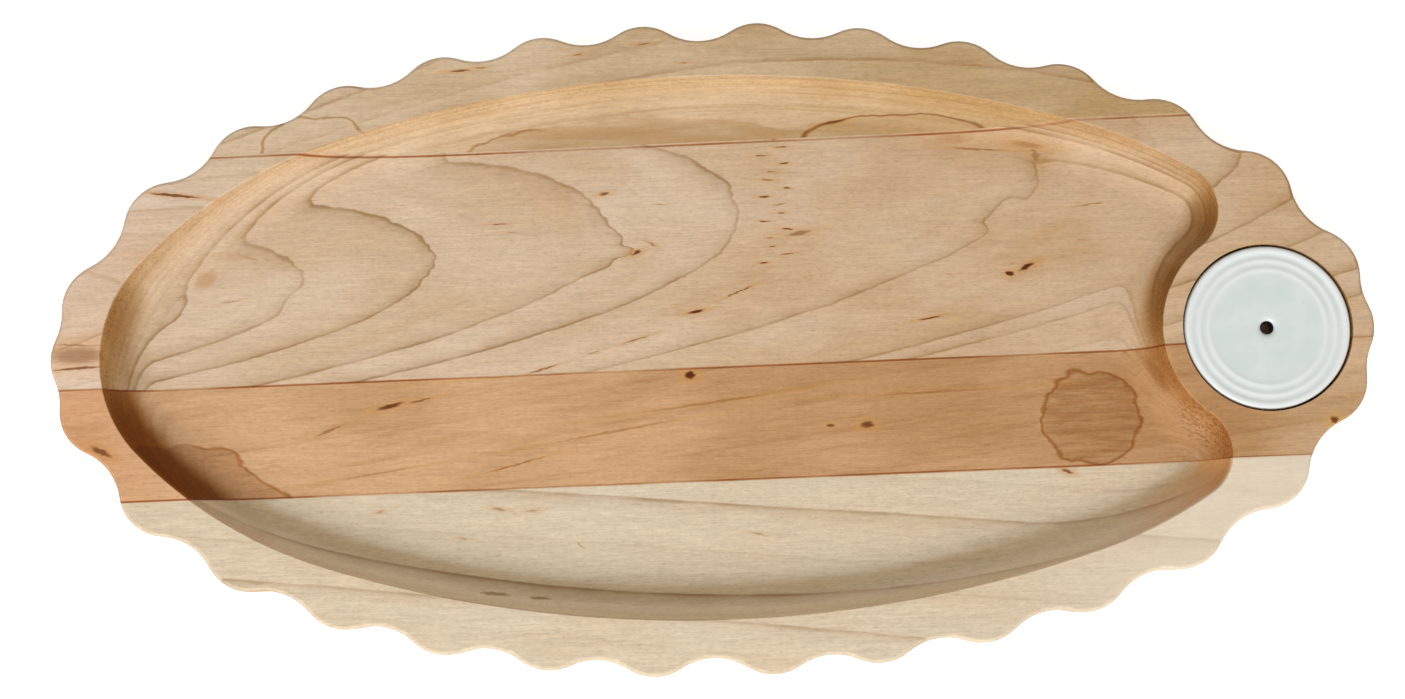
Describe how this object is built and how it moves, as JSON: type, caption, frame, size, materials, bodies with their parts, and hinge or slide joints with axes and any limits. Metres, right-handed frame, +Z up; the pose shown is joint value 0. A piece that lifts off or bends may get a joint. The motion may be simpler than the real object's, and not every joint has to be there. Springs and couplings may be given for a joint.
{
  "type": "chip and dip server",
  "caption": "Scalloped oval serving board of edge-glued maple staves, with a routed well for chips and a round glazed ceramic insert with a peg hole, flush in its own bore.",
  "frame": {"origin": "on the underside, at the centre of the oval board", "axes": "+X runs along the board towards the ceramic insert, +Y across the board to its back edge, +Z up"},
  "size_m": [0.508, 0.252, 0.019],
  "materials": {
    "maple_light_tan": "oiled maple heartwood, satin, light tan",
    "maple_cream": "oiled maple, satin, cream with cathedral grain",
    "maple_reddish": "oiled maple, satin, warm reddish with brown streaks",
    "maple_pale": "oiled maple sapwood, satin, pale",
    "white_glaze": "glossy cool white glaze, unglazed foot ring"
  },
  "bodies": {
    "board": {"back_stave": "maple_light_tan", "broad_stave": "maple_cream", "narrow_stave": "maple_reddish", "front_stave": "maple_pale"},
    "insert": {"ceramic_insert": "white_glaze"}
  },
  "joints": [
    {"name": "insert_lift", "type": "slide", "parent": "board", "child": "insert", "axis": [0, 0, 1], "range_m": [0, 0.04]}
  ]
}
